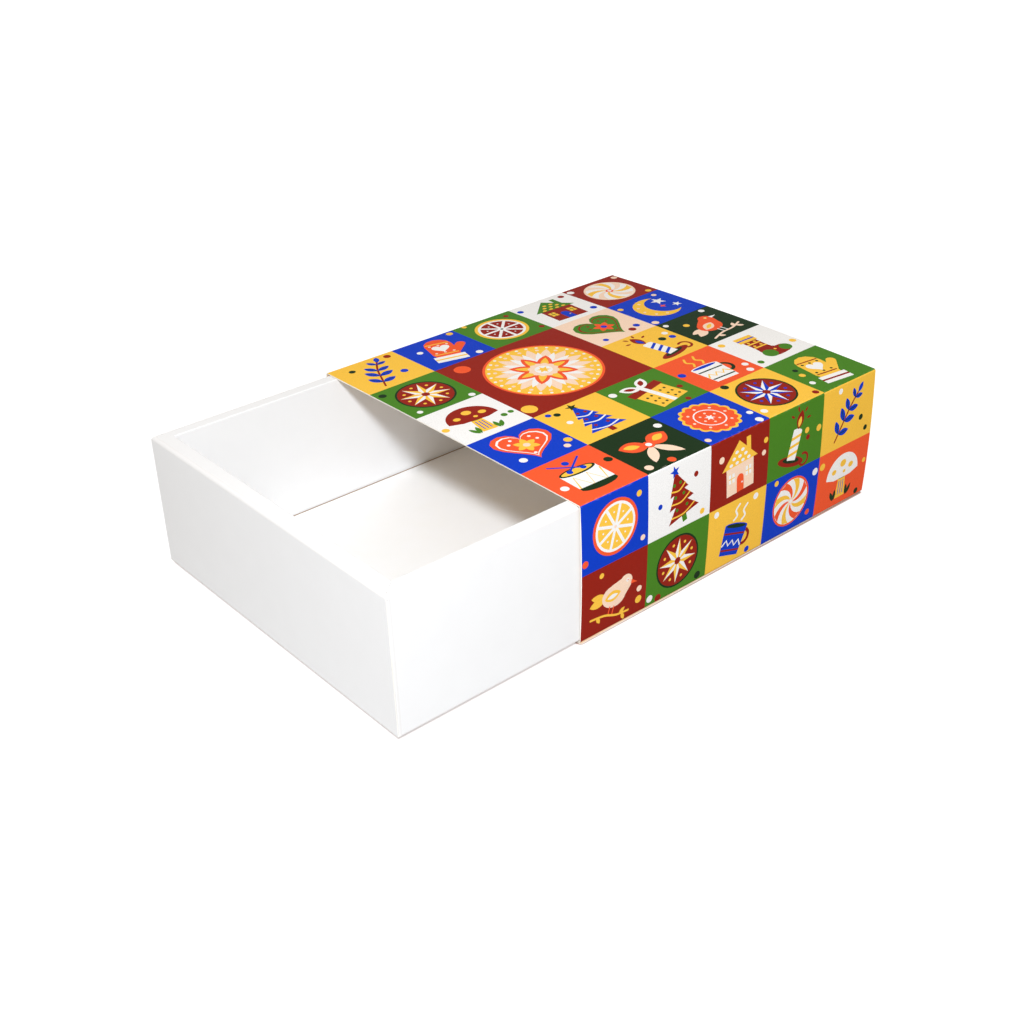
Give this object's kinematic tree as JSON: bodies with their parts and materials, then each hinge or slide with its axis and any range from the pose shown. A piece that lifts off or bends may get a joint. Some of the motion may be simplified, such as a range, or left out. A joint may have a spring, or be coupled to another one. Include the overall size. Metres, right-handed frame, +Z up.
{
  "type": "drawer box",
  "caption": "Folded board drawer box for biscuits: a printed sleeve, open at both ends, over a white tray with hollow walls that slides out of it.",
  "frame": {"origin": "on the table, under the middle of the whole box as it stands with its tray part drawn", "axes": "+Z up, tray's front towards -Y, +X to the right seen from the front"},
  "size_m": [0.1524, 0.242, 0.0565],
  "materials": {
    "printed_board": "satin",
    "white_board": "matte",
    "floor_board": "matte",
    "glue": "satin"
  },
  "bodies": {
    "sleeve": {"sleeve": "printed_board", "sleeve_seam_glue": "glue"},
    "tray": {"tray_base": "white_board", "tray_front_wall": "white_board", "tray_back_wall": "white_board", "tray_left_wall": "white_board", "tray_right_wall": "white_board", "floor_card": "floor_board", "corner_glue_front_left": "glue", "corner_glue_front_right": "glue", "corner_glue_back_left": "glue", "corner_glue_back_right": "glue"}
  },
  "joints": [
    {"name": "tray_slide", "type": "slide", "parent": "sleeve", "child": "tray", "axis": [0, -1, 0], "range_m": [-0.08, 0.082]}
  ]
}
